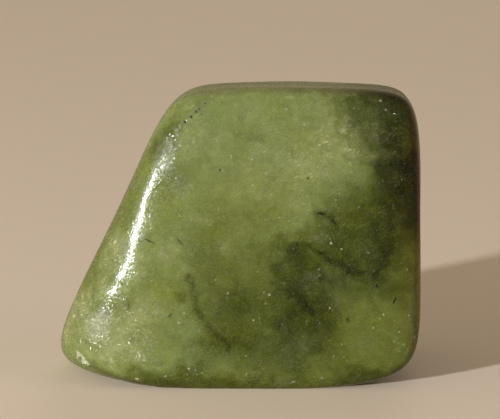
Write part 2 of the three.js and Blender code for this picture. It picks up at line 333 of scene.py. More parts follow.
# Dark clouds in the stone, and painted shade along the bottom and right edges: the middle, the half sizes
# across, deep and high, the lean in degrees down to the right, how dark the cloud is, and how much of it is
# core before it fades.
darkCloudsAndPaintedShade = [
    ((16.7, -5.0, 27.0), (10.6, 12.0, 9.6), 0, 0.58, 0.62),  # veil over the upper right corner
    ((13.2, -6.8, 23.2), (3.8, 3.0, 1.6), 64, 0.50, 0.10),
    ((14.2, -6.4, 24.4), (2.2, 4.0, 3.2), 0, 0.34, 0.10),
    ((13.8, -7.0, 20.4), (2.6, 4.0, 2.6), 10, 0.42, 0.10),
    ((11.3, -7.0, 22.2), (1.6, 3.0, 0.8), 0, 0.20, 0.10),
    ((13.7, -6.8, 21.2), (1.6, 3.0, 1.6), 0, 0.34, 0.10),
    ((9.3, -7.4, 18.4), (2.0, 3.0, 1.1), 0, 0.20, 0.10),
    ((12.8, -6.2, 26.0), (2.0, 3.0, 1.5), 0, 0.36, 0.10),
    ((4.8, -6.3, 26.9), (1.8, 3.0, 1.0), 0, 0.26, 0.10),
    ((13.0, -7.2, 18.2), (2.2, 4.0, 2.0), 0, 0.40, 0.10),
    ((13.0, -5.0, 27.2), (3.6, 9.0, 2.6), 0, 0.70, 0.20),
    ((14.4, -7.0, 19.4), (3.2, 4.0, 2.6), 0, 0.62, 0.30),
    ((13.4, -7.2, 20.0), (1.2, 2.0, 1.0), 0, 0.60, 0.20),
    ((15.0, -7.0, 20.4), (1.3, 2.0, 0.9), -10, 0.66, 0.20),
    ((15.6, -6.8, 16.8), (3.0, 5.0, 4.8), 0, 0.78, 0.30),  # right edge: partly the stone's own dark tone, partly painted shade of the side turned away from the key light
    ((13.5, -7.0, 13.2), (3.6, 6.0, 5.0), 0, 0.58, 0.20),
    ((12.9, -7.8, 12.2), (0.9, 2.0, 1.7), 0, 0.60, 0.15),
    ((9.0, -8.1, 10.9), (1.6, 3.0, 0.9), 0, 0.30, 0.10),
    ((9.2, -8.3, 7.2), (1.8, 3.0, 1.4), 0, 0.16, 0.10),
    ((10.8, -7.5, 15.4), (6.6, 5.0, 3.8), -36, 0.45, 0.50),  # band with a clear upper border
    ((11.7, -7.9, 12.0), (2.4, 3.0, 2.0), 0, 0.46, 0.10),
    ((9.4, -7.8, 13.6), (2.4, 3.0, 2.0), 0, 0.32, 0.10),
    ((7.2, -7.6, 15.6), (1.4, 3.0, 0.7), 0, 0.24, 0.10),
    ((3.4, -8.1, 10.0), (1.8, 3.0, 1.0), 0, 0.22, 0.10),
    ((13.6, -7.5, 13.8), (1.6, 3.0, 2.0), 0, 0.20, 0.10),
    ((4.4, -8.3, 7.2), (1.8, 3.0, 1.8), 0, 0.18, 0.10),
    ((3.0, -7.8, 12.8), (1.7, 3.0, 1.2), 0, 0.22, 0.10),
    ((5.5, -7.7, 14.5), (1.8, 3.0, 0.8), -20, 0.28, 0.10),
    ((4.2, -8.5, 5.8), (1.3, 3.0, 1.2), 0, 0.34, 0.10),
    ((10.8, -8.5, 1.9), (2.4, 3.0, 0.9), 0, 0.26, 0.10),
    ((12.8, -8.2, 8.5), (1.9, 3.0, 1.6), 0, 0.18, 0.10),
    ((13.2, -7.3, 16.8), (2.0, 3.0, 2.6), 0, 0.24, 0.10),
    ((11.3, -7.5, 15.9), (1.2, 3.0, 1.0), 0, 0.24, 0.10),
    ((13.6, -6.1, 25.2), (1.5, 3.0, 1.5), 0, 0.28, 0.10),
    ((10.4, -6.9, 24.0), (1.4, 3.0, 0.9), 60, 0.18, 0.10),
    ((0.4, -7.0, 22.9), (2.8, 3.0, 0.9), 20, 0.16, 0.10),
    ((-5.3, -7.2, 18.8), (1.9, 3.0, 2.8), 0, 0.18, 0.10),
    ((-8.2, -8.6, 1.7), (1.7, 2.0, 0.8), 0, 0.24, 0.10),
    ((-10.1, -8.0, 7.0), (0.9, 2.0, 1.7), 20, 0.24, 0.10),
    ((-2.4, -8.5, 5.7), (2.2, 3.0, 1.0), 0, 0.24, 0.10),
    ((1.4, -7.8, 12.6), (2.4, 3.0, 1.4), 0, 0.20, 0.10),
    ((-3.0, -7.9, 12.4), (2.8, 3.0, 3.0), 0, 0.24, 0.10),
    ((11.8, -8.1, 10.0), (2.6, 3.0, 1.6), 0, 0.22, 0.10),
    ((15.4, -7.6, 9.7), (1.3, 3.0, 1.7), 0, 0.30, 0.10),
    ((4.6, -7.8, 13.0), (2.8, 3.0, 1.0), -10, 0.28, 0.10),
    ((3.1, -7.9, 11.5), (1.9, 3.0, 2.6), 0, 0.34, 0.10),
    ((13.6, -8.0, 9.6), (2.2, 3.0, 1.5), 0, 0.28, 0.10),
    ((5.8, -7.8, 13.2), (3.0, 3.0, 1.3), -36, 0.26, 0.40),
    ((7.6, -7.9, 11.0), (5.6, 4.0, 2.5), 0, 0.48, 0.30),
    ((5.1, -7.9, 12.1), (1.7, 2.0, 1.2), 10, 0.54, 0.10),
    ((3.6, -7.9, 13.8), (0.8, 1.5, 0.7), 30, 0.32, 0.25),
    ((9.0, -7.9, 11.6), (3.2, 1.5, 0.7), 22, 0.60, 0.10),  # dark strand across the band
    ((10.6, -8.0, 9.6), (3.4, 3.0, 2.2), 0, 0.40, 0.20),
    ((5.9, -8.2, 7.4), (4.3, 5.0, 5.2), 0, 0.62, 0.35),  # mass in the middle of the lower half
    ((5.8, -8.2, 8.1), (2.7, 2.5, 1.0), 46, 0.62, 0.10),
    ((7.8, -8.4, 4.6), (2.6, 3.0, 2.2), 0, 0.28, 0.10),
    ((4.2, -8.5, 3.5), (2.4, 3.0, 2.2), 0, 0.36, 0.10),
    ((0.3, -8.3, 6.2), (4.8, 5.0, 4.1), 0, 0.44, 0.30),  # thinner cloud to its left
    ((0.2, -8.0, 9.8), (5.4, 6.0, 4.0), 0, 0.32, 0.20),
    ((-0.4, -7.7, 15.0), (7.4, 6.0, 3.4), 0, 0.16, 0.00),
    ((-5.4, -8.2, 8.3), (1.2, 2.0, 0.8), 20, 0.34, 0.10),
    ((-3.0, -8.7, 3.7), (2.2, 3.0, 1.0), 0, 0.18, 0.10),
    ((-8.7, -8.5, 4.3), (1.8, 2.0, 1.0), 0, 0.20, 0.10),
    ((-3.0, -8.7, 1.3), (2.8, 2.0, 0.9), 0, 0.28, 0.10),
    ((5.0, -8.7, 2.0), (1.5, 2.0, 1.2), 0, 0.24, 0.10),
    ((8.6, -8.6, 2.4), (2.2, 2.0, 1.0), 0, 0.16, 0.10),
    ((-2.0, -8.6, 4.2), (2.8, 2.0, 1.6), 10, 0.32, 0.10),
    ((-3.8, -8.7, 2.3), (2.4, 2.0, 1.2), -20, 0.44, 0.10),
    ((-4.2, -8.0, 9.4), (2.2, 2.0, 2.4), 0, 0.22, 0.10),
    ((-3.8, -8.3, 7.0), (1.6, 2.0, 1.2), 0, 0.26, 0.10),
    ((3.5, -8.6, 2.8), (7.4, 5.0, 2.9), 0, 0.36, 0.35),
    # painted shade: darker along the whole bottom edge, where the stone turns under towards the floor
    ((0.0, -8.0, -0.4), (18.0, 9.0, 2.2), 0, 0.50, 0.40),
    ((12.2, -8.0, 5.0), (6.4, 6.0, 6.2), 0, 0.24, 0.40),
    ((14.6, -8.0, 8.6), (2.2, 3.0, 1.7), 0, 0.42, 0.10),
    # painted shade under the lower right corner, where the stone lifts off the floor
    ((11.5, -8.4, 1.0), (5.2, 3.0, 1.5), 0, 0.50, 0.20),
    # painted shade along the lower left of the bottom edge
    ((-7.4, -8.6, 1.0), (5.4, 2.0, 1.5), 0, 0.36, 0.20),
    # painted shade under the lower left corner, where the stone lifts off the floor
    ((-11.2, -7.0, 0.8), (4.0, 5.0, 1.3), 14, 0.40, 0.20),
    ((-9.9, -8.4, 1.7), (0.9, 1.2, 0.6), 10, 0.28, 0.20),
    ((-6.5, -6.3, 22.4), (3.6, 2.4, 1.6), -54, 0.42, 0.30),
    ((-3.4, -6.3, 25.6), (1.4, 2.4, 1.0), -30, 0.20, 0.10),
    ((-6.4, -7.2, 19.0), (1.9, 3.0, 3.4), 10, 0.16, 0.10),
    ((1.6, -7.1, 22.2), (1.6, 3.0, 0.9), 0, 0.16, 0.10),
    ((-8.0, -6.0, 21.2), (1.3, 3.0, 2.2), 24, 0.24, 0.10),
    ((-12.3, -7.6, 6.6), (1.3, 2.0, 2.0), 20, 0.38, 0.10),
    ((-13.2, -7.3, 4.2), (1.3, 2.0, 1.9), 20, 0.36, 0.10),
    ((11.2, -7.2, 19.3), (1.3, 3.0, 1.3), 0, 0.20, 0.10),
    ((9.8, -8.0, 11.9), (1.3, 3.0, 1.1), 0, 0.22, 0.10),
    ((13.2, -7.9, 11.0), (1.7, 3.0, 1.3), 0, 0.24, 0.10),
    ((15.3, -7.4, 11.2), (1.1, 3.0, 1.2), 0, 0.30, 0.10),
    ((14.2, -7.3, 15.6), (1.2, 3.0, 1.8), 0, 0.26, 0.10),
    ((10.4, -8.1, 10.5), (1.2, 3.0, 0.8), 0, 0.22, 0.10),
    ((8.0, -7.4, 17.3), (1.2, 3.0, 0.9), 0, 0.18, 0.10),
    ((8.0, -7.8, 13.0), (1.5, 3.0, 1.0), 0, 0.20, 0.10),
    ((12.2, -7.0, 21.8), (1.3, 3.0, 0.9), 0, 0.22, 0.10),
    ((13.4, -5.6, 26.6), (2.4, 4.0, 1.5), 0, 0.40, 0.10),
    ((4.6, -6.2, 26.9), (1.2, 3.0, 0.8), 0, 0.14, 0.10),
    ((-2.0, -7.8, 13.0), (1.4, 3.0, 0.8), 20, 0.14, 0.10),
    ((-4.2, -8.0, 11.5), (1.4, 3.0, 0.9), 10, 0.18, 0.10),
    ((-2.4, -8.2, 8.6), (1.4, 3.0, 3.2), 0, 0.20, 0.10),
    ((-4.4, -8.6, 3.8), (1.7, 3.0, 1.4), 0, 0.18, 0.10),
    ((0.0, -8.5, 4.7), (1.3, 3.0, 1.0), 0, 0.20, 0.10),
    ((-12.0, -4.0, 12.0), (3.6, 5.0, 13.0), 24, 0.26, 0.55),  # the left face is a little deeper in tone
    ((15.4, 2.5, 8.0), (3.0, 5.0, 9.0), 0, 0.50, 0.20),  # clouds that carry on round the sides and the back
    ((16.0, 4.0, 19.0), (2.6, 3.4, 3.0), 0, 0.40, 0.10),
    ((14.0, 8.0, 20.5), (7.0, 5.0, 7.0), -30, 0.60, 0.40),
    ((9.6, 8.0, 16.0), (6.4, 4.0, 3.6), -42, 0.46, 0.40),
    ((4.6, 8.2, 12.0), (6.6, 4.0, 3.2), -40, 0.50, 0.30),
    ((6.6, 8.2, 9.2), (2.6, 3.0, 3.6), 20, 0.44, 0.10),
    ((0.2, 8.4, 9.4), (5.0, 4.0, 2.2), -16, 0.42, 0.20),
    ((-4.2, 8.6, 5.2), (5.0, 4.0, 2.8), -24, 0.50, 0.30),
    ((1.6, 8.4, 4.2), (4.0, 4.0, 2.0), 10, 0.30, 0.10),
    ((-9.6, 7.6, 3.4), (4.0, 4.0, 1.8), 10, 0.36, 0.10),
    ((10.8, 8.2, 11.0), (2.4, 3.0, 3.4), 10, 0.34, 0.10),
    ((-1.5, 7.8, 16.5), (5.6, 4.0, 2.6), -34, 0.24, 0.10),
    ((9.5, 8.4, 4.0), (5.6, 4.0, 2.2), -10, 0.36, 0.20),
    ((-1.0, 7.4, 20.0), (3.8, 4.0, 1.4), 30, 0.30, 0.10),
    ((-6.5, 7.0, 15.5), (2.2, 4.0, 4.2), -24, 0.26, 0.10),
    ((-11.5, 4.4, 10.0), (3.4, 3.4, 5.4), 24, 0.36, 0.10),
    ((-12.8, 2.0, 8.0), (3.0, 2.0, 3.0), 24, 0.34, 0.10),
    ((-14.2, 3.4, 4.2), (3.6, 4.4, 2.8), 0, 0.40, 0.20),
    ((-14.4, -2.0, 4.4), (2.6, 2.4, 1.6), 0, 0.26, 0.10),
    ((-9.2, 4.6, 17.6), (3.0, 2.6, 4.2), 24, 0.34, 0.10),
    ((-8.0, -0.6, 20.6), (2.0, 2.2, 2.0), 0, 0.26, 0.10),
    ((-1.0, 2.0, 26.6), (6.0, 2.4, 2.0), 0, 0.34, 0.10),
    ((5.5, 5.0, 26.4), (4.0, 2.6, 2.4), 0, 0.44, 0.20),
]

# Dark veins: the points that each one runs through, its half width and how dark it is.
veins = [
    ([(-4.5, -8.1, 10.4), (-4.1, -8.2, 9.0), (-3.8, -8.3, 7.4), (-2.8, -8.5, 6.0), (-1.7, -8.6, 4.8),
      (-0.8, -8.7, 3.9)], 0.44, 0.42),
    ([(4.9, -7.8, 13.4), (6.8, -7.8, 12.7), (8.2, -7.9, 11.7), (9.7, -8.0, 11.0), (10.9, -8.0, 10.8),
      (12.2, -8.1, 10.2)], 0.40, 0.42),
    ([(6.6, -7.6, 16.1), (7.5, -7.6, 16.0), (8.3, -7.6, 15.5), (8.9, -7.7, 14.6)], 0.36, 0.40),
    ([(13.3, -7.9, 12.8), (12.8, -8.0, 11.6), (12.3, -8.1, 10.4)], 0.44, 0.40),
    ([(3.9, -7.7, 13.9), (5.0, -7.9, 12.3), (3.6, -8.0, 11.2), (3.8, -8.1, 9.4), (5.2, -8.2, 8.4),
      (6.9, -8.3, 6.9)], 0.50, 0.30),
    ([(-6.4, -7.0, 22.0), (-5.0, -6.6, 24.0), (-3.4, -6.3, 25.6)], 0.60, 0.22),
    ([(11.4, 7.3, 18.6), (7.8, 7.7, 15.6), (6.4, 7.9, 12.4), (7.4, 8.2, 9.2), (6.2, 8.4, 6.2)], 0.60, 0.40),
    ([(4.4, 8.0, 12.4), (0.6, 7.9, 13.2), (-2.6, 7.7, 15.6), (-4.4, 7.5, 17.0)], 0.50, 0.36),
    ([(-1.4, 8.3, 7.8), (-4.6, 8.2, 8.6), (-7.6, 8.0, 7.4)], 0.50, 0.36),
    ([(13.6, 7.4, 14.4), (11.0, 8.0, 10.4), (11.4, 8.2, 7.0)], 0.50, 0.34),
    ([(9.8, 7.2, 20.4), (5.6, 7.1, 21.6), (2.0, 7.0, 21.2)], 0.44, 0.30),
    ([(-9.8, 3.8, 16.6), (-10.8, 2.6, 14.0), (-12.2, 1.6, 10.0), (-13.6, 2.4, 6.0)], 0.56, 0.36),
    ([(-12.2, 1.6, 10.0), (-12.8, -1.2, 8.6), (-13.4, -3.0, 7.8)], 0.50, 0.34),
    ([(16.2, -2.0, 17.0), (16.4, 1.4, 12.6), (16.2, 3.8, 10.4)], 0.50, 0.38),
    ([(16.4, 1.4, 12.6), (16.4, -1.6, 9.4), (16.2, -2.4, 6.0)], 0.50, 0.34),
    ([(-2.0, -1.0, 26.8), (2.4, 1.4, 26.8), (6.4, 0.8, 26.8), (9.6, 3.0, 26.8)], 0.50, 0.34),
]

# Milky patches, written the same way as the dark clouds.
milkyClouds = [
    ((8.2, -7.0, 22.2), (5.0, 5.0, 4.4), -20, 0.30, 0.20),
    ((5.4, -7.4, 17.0), (1.8, 4.0, 3.0), 20, 0.26, 0.10),
    ((0.8, -6.8, 25.0), (2.6, 3.0, 1.6), 0, 0.14, 0.10),
    ((9.0, -6.9, 23.5), (1.7, 3.0, 1.5), 0, 0.24, 0.10),
    ((-12.2, -6.4, 11.3), (1.6, 2.2, 2.2), 24, 0.32, 0.10),
    ((-15.4, -5.0, 5.8), (1.3, 4.0, 2.8), 10, 0.40, 0.10),
    ((-11.4, -8.2, 3.9), (1.6, 2.0, 1.7), 0, 0.52, 0.10),
    ((-8.9, -7.9, 11.4), (1.1, 2.0, 2.0), 20, 0.30, 0.10),
    ((-13.6, -6.6, 8.6), (1.0, 2.6, 1.7), 24, 0.26, 0.10),
    ((-15.8, -4.6, 4.0), (1.0, 4.0, 2.4), 10, 0.30, 0.10),
    ((7.2, -7.8, 13.9), (1.2, 2.0, 0.9), 0, 0.24, 0.10),
    ((12.3, -6.9, 20.9), (1.2, 2.0, 0.7), 0, 0.18, 0.10),
    ((-11.8, -8.1, 3.6), (1.4, 2.0, 1.5), -30, 0.26, 0.10),
    ((8.2, -8.3, 8.0), (1.2, 3.0, 1.2), 0, 0.12, 0.10),
    ((5.3, -7.3, 19.4), (1.4, 3.0, 1.2), 0, 0.16, 0.10),
    ((8.6, -7.5, 16.2), (1.6, 3.0, 0.8), 0, 0.12, 0.10),
    ((4.0, -8.7, 0.8), (1.4, 3.0, 0.8), 0, 0.22, 0.10),
    ((-1.2, -7.8, 13.0), (1.2, 2.0, 1.2), 0, 0.20, 0.10),
    ((-8.6, -8.5, 5.0), (2.0, 2.0, 1.6), 0, 0.16, 0.10),
    ((-4.4, -8.1, 10.2), (0.8, 2.0, 0.8), 0, 0.20, 0.10),
    ((0.0, -4.0, 27.0), (5.4, 3.6, 1.4), 0, 0.34, 0.10),
    ((-10.3, -7.9, 9.0), (1.3, 2.0, 1.1), -30, 0.30, 0.10),
    ((-7.2, -8.4, 6.6), (1.5, 2.0, 1.2), 0, 0.20, 0.10),
    ((2.6, -7.5, 17.6), (1.3, 3.0, 1.7), 0, 0.16, 0.10),
    ((7.2, -7.3, 19.5), (1.4, 3.0, 1.5), 0, 0.22, 0.10),
    ((7.0, -6.7, 25.6), (1.7, 3.0, 1.3), 0, 0.24, 0.10),
    ((9.6, -6.0, 26.7), (2.2, 3.0, 0.9), 0, 0.30, 0.10),
    ((5.4, -8.5, 4.2), (1.4, 3.0, 1.2), 0, 0.14, 0.10),
    ((7.7, -7.1, 22.3), (2.2, 3.0, 1.6), 0, 0.32, 0.10),
    ((-4.6, -6.8, 22.3), (2.4, 3.0, 1.7), -30, 0.20, 0.10),
    ((-3.6, -7.4, 15.3), (1.4, 2.0, 1.0), 0, 0.38, 0.10),
    ((-6.3, -7.8, 12.4), (2.0, 4.0, 1.9), 0, 0.34, 0.10),
    ((-8.6, -7.9, 10.6), (1.3, 3.0, 1.6), 20, 0.20, 0.10),
    ((-12.0, -7.6, 4.4), (3.8, 4.0, 3.2), -30, 0.50, 0.20),
    ((-14.6, -6.0, 7.0), (2.2, 4.0, 3.4), -24, 0.46, 0.10),
    ((1.6, -7.1, 19.8), (7.0, 4.0, 5.0), -20, 0.21, 0.10),
    ((-2.0, -7.1, 21.0), (1.8, 3.0, 1.4), 0, 0.14, 0.10),
    ((2.0, -6.9, 24.4), (2.2, 3.0, 1.6), 0, 0.12, 0.10),
    ((-3.6, -6.9, 22.8), (1.9, 3.0, 1.5), 0, 0.16, 0.10),
    ((-4.8, -7.0, 21.0), (1.2, 3.0, 1.4), 0, 0.16, 0.10),
    ((12.4, -6.7, 23.2), (1.4, 3.0, 1.2), 0, 0.14, 0.10),
    ((6.2, -8.2, 10.0), (1.7, 2.0, 1.0), 0, 0.12, 0.10),
    ((9.2, -8.2, 9.3), (1.3, 2.0, 0.9), 0, 0.12, 0.10),
    ((5.8, -7.2, 19.8), (2.6, 4.0, 2.2), 0, 0.26, 0.10),
    ((-8.6, -8.4, 7.0), (2.8, 3.0, 1.8), -40, 0.56, 0.10),
    ((-9.2, -8.5, 3.5), (2.4, 3.0, 1.4), -10, 0.36, 0.10),
    ((-10.9, -6.6, 13.1), (1.7, 2.2, 2.6), -24, 0.62, 0.10),
    ((-12.0, -6.8, 8.8), (1.5, 2.0, 1.8), -20, 0.36, 0.10),
    ((-2.5, 7.8, 14.5), (5.0, 3.0, 2.8), -36, 0.54, 0.10),
    ((-6.6, 7.4, 18.4), (3.4, 3.0, 2.2), -50, 0.34, 0.10),
    ((5.0, 7.2, 20.4), (4.6, 3.0, 3.0), -20, 0.44, 0.10),
    ((-8.2, 7.8, 9.6), (3.6, 3.0, 2.6), -30, 0.54, 0.10),
    ((10.6, 8.2, 7.0), (3.4, 3.0, 2.6), 20, 0.40, 0.10),
    ((2.4, 8.3, 6.4), (2.4, 3.0, 1.4), 0, 0.36, 0.10),
    ((-12.6, 6.8, 4.6), (2.4, 2.6, 1.8), 0, 0.44, 0.10),
    ((-10.8, 1.0, 14.0), (1.6, 2.8, 3.2), 24, 0.40, 0.10),
    ((-13.6, -2.0, 7.0), (1.8, 2.4, 2.2), 24, 0.40, 0.10),
    ((16.0, -1.0, 12.5), (1.8, 2.4, 3.4), 0, 0.30, 0.10),
    ((3.0, -2.0, 27.0), (5.0, 2.0, 1.6), 0, 0.34, 0.10),
]

# Yellow, clearer places, written the same way.
oilyClouds = [
    ((-6.2, -7.4, 16.9), (2.3, 3.0, 2.6), 10, 0.50, 0.10),
    ((-2.2, -7.7, 14.0), (2.3, 3.0, 1.7), 20, 0.40, 0.10),
    ((-6.4, -8.2, 8.6), (2.4, 3.0, 2.0), 20, 0.50, 0.10),
    ((-8.9, -7.2, 20.0), (1.0, 4.0, 5.0), -28, 0.40, 0.10),
    ((-14.5, -4.5, 9.0), (2.6, 5.0, 7.0), 24, 0.40, 0.10),
    ((-0.8, -8.4, 4.9), (3.4, 3.0, 2.4), 0, 0.60, 0.20),
    ((6.4, -8.2, 7.6), (3.0, 3.0, 2.6), 30, 0.45, 0.10),
    ((8.0, -8.0, 11.8), (4.2, 3.0, 1.6), 10, 0.45, 0.10),
    ((15.5, -6.5, 15.0), (4.2, 6.0, 12.0), 0, 0.80, 0.30),
    ((11.5, -8.0, 4.5), (8.0, 6.0, 6.0), 0, 0.50, 0.30),
    ((-1.0, -8.0, -0.6), (19.0, 8.0, 3.2), 0, 0.80, 0.40),
    ((0.0, -8.0, 9.0), (8.0, 5.0, 6.0), 0, 0.30, 0.10),
    ((-10.5, -8.2, 4.2), (5.5, 4.0, 4.5), 0, 0.34, 0.30),
    ((1.0, -7.5, 16.6), (7.5, 4.0, 5.4), 0, 0.36, 0.20),
    ((-8.0, -7.8, 9.0), (4.0, 4.0, 6.0), 20, 0.30, 0.20),
]

# Dark hairlines, written like the dark clouds, each one long and thin.
hairlines = [
    ((-7.95, -7.7, 13.45), (0.86, 0.6, 0.10), 24, 0.90, 0.3),
    ((-5.25, -7.9, 13.45), (0.86, 0.6, 0.08), 45, 0.85, 0.3),
    ((-2.50, -7.9, 13.05), (0.42, 0.6, 0.06), 40, 0.60, 0.2),
    ((-6.15, -8.3, 6.80), (0.42, 1.5, 0.09), -54, 0.85, 0.2),
    ((-9.85, -8.0, 7.70), (0.10, 1.5, 0.55), 0, 0.45, 0.1),
    ((13.30, -6.4, 26.30), (0.85, 1.5, 0.16), 55, 0.60, 0.1),
    ((7.25, -7.9, 12.40), (0.52, 0.6, 0.13), 26, 0.75, 0.1),
    ((9.60, -8.1, 10.80), (0.40, 0.6, 0.08), 18, 0.60, 0.1),
    ((10.90, -8.1, 10.65), (0.58, 0.6, 0.11), 3, 0.75, 0.1),
    ((12.30, -8.0, 9.45), (0.36, 1.5, 0.15), 60, 1.00, 0.3),
    ((13.85, -8.1, 8.10), (0.56, 1.5, 0.13), -58, 1.00, 0.3),
    ((7.30, -7.6, 15.95), (0.62, 0.9, 0.20), 12, 0.90, 0.2),
    ((8.40, -7.7, 15.20), (0.80, 0.9, 0.18), 48, 0.75, 0.1),
    ((12.95, -8.0, 12.55), (0.35, 0.6, 0.09), -28, 0.70, 0.1),
    ((14.90, -8.0, 7.80), (0.34, 1.5, 0.09), -54, 0.60, 0.1),
    ((11.60, -7.5, 16.70), (0.40, 0.6, 0.07), -62, 0.50, 0.1),
    ((7.00, -8.4, 6.90), (0.45, 0.6, 0.08), 20, 0.40, 0.1),
    ((4.5, 7.4, 17.2), (0.8, 1.5, 0.09), 35, 0.80, 0.3),  # on the back
    ((-2.0, 8.0, 11.2), (0.9, 1.5, 0.09), -28, 0.75, 0.3),
    ((-5.6, 8.2, 6.4), (0.5, 1.5, 0.08), 50, 0.75, 0.3),
    ((9.6, 7.8, 13.4), (0.6, 1.5, 0.09), -50, 0.75, 0.3),
    ((16.4, -1.0, 9.6), (1.4, 0.09, 0.7), 0, 0.80, 0.3),  # on the right side
    ((16.2, 2.6, 17.2), (1.4, 0.8, 0.08), 0, 0.80, 0.3),
    ((-11.6, 2.2, 12.0), (1.6, 0.09, 0.8), 0, 0.80, 0.3),  # on the left side
]

# White specks in the front and, in the last rows, in the back: the middle and the radius.
specks = [
    ((-11.1, -6.3, 13.1), 0.20), ((-12.0, -8.1, 6.0), 0.15), ((-13.1, -7.6, 6.1), 0.24),
    ((-13.8, -7.1, 5.9), 0.20), ((-10.3, -8.5, 5.2), 0.16), ((-10.2, -8.6, 4.0), 0.14),
    ((-12.1, -8.3, 2.7), 0.13), ((-4.9, -8.4, 7.0), 0.11), ((-5.4, -8.4, 6.2), 0.13),
    ((-4.5, -8.8, 2.0), 0.13), ((-3.3, -8.8, 1.6), 0.12), ((-1.0, -8.3, 8.8), 0.11),
    ((-2.1, -8.1, 10.0), 0.11), ((2.2, -8.3, 8.9), 0.13), ((2.7, -8.3, 8.7), 0.14),
    ((1.3, -8.5, 6.4), 0.13), ((1.8, -8.5, 6.6), 0.11), ((8.1, -8.4, 7.5), 0.12),
    ((7.2, -8.1, 10.4), 0.13), ((9.1, -7.9, 12.8), 0.14), ((8.2, -7.8, 13.3), 0.16),
    ((12.9, -8.4, 6.9), 0.14), ((12.6, -8.4, 6.5), 0.12), ((12.0, -8.5, 5.7), 0.11),
    ((15.2, -8.1, 6.8), 0.12), ((14.3, -8.4, 5.3), 0.12), ((15.7, -8.0, 4.7), 0.15),
    ((14.7, -8.4, 4.1), 0.13), ((7.4, -8.7, 1.1), 0.12), ((2.7, -6.8, 24.9), 0.14),
    ((3.1, -6.8, 25.1), 0.10), ((4.2, -6.7, 25.2), 0.10), ((2.1, -6.9, 23.9), 0.10),
    ((5.8, -6.9, 23.8), 0.11), ((7.1, -7.1, 22.0), 0.14), ((7.5, -7.1, 21.5), 0.10),
    ((6.4, -7.2, 21.0), 0.10), ((8.6, -7.2, 20.8), 0.11), ((7.8, -7.3, 19.4), 0.10),
    ((10.0, -7.3, 19.7), 0.10), ((12.5, -6.4, 25.9), 0.17), ((13.0, -6.6, 25.1), 0.16),
    ((-4.0, -6.9, 22.6), 0.11), ((-8.0, -4.3, 21.6), 0.14), ((-3.6, -7.1, 21.8), 0.11),
    ((-0.2, -7.0, 23.2), 0.10), ((-7.9, -7.5, 14.6), 0.12),
    ((-3.4, 7.8, 14.6), 0.14), ((-2.2, 7.8, 13.9), 0.12), ((6.8, 7.1, 21.2), 0.14),
    ((1.2, 7.2, 19.4), 0.12), ((12.6, 7.2, 20.6), 0.14), ((-7.4, 7.8, 9.4), 0.14),
    ((-8.2, 7.8, 8.4), 0.12), ((10.4, 8.1, 5.2), 0.13), ((3.2, 8.3, 6.2), 0.12),
    ((-10.8, 7.4, 4.6), 0.13),
]

# Rust-coloured specks, written the same way.
rustSpots = [((6.12, -7.3, 19.1), 0.18), ((9.7, -8.3, 6.45), 0.28), ((-6.2, -7.1, 18.0), 0.14)]

# Places where the polish is duller, written like the dark clouds.
scuffs = [
    ((-7.0, -6.7, 21.2), (2.8, 3.0, 4.6), 0, 0.85, 0.15),
    ((-12.8, -7.4, 5.9), (3.7, 3.2, 3.2), -30, 0.72, 0.15),
    ((-13.4, -6.8, 2.6), (2.6, 3.0, 2.4), 0, 0.50, 0.00),
    ((14.6, -6.6, 25.0), (2.6, 3.0, 2.4), 0, 0.50, 0.10),
]

cloudDrift = [(0.5, 0.60), (1.1, 0.30), (2.4, 0.16)]  # how the clouds wander: scale per mm and reach
veinDrift = 0.4  # the share of it that the veins and the duller places take

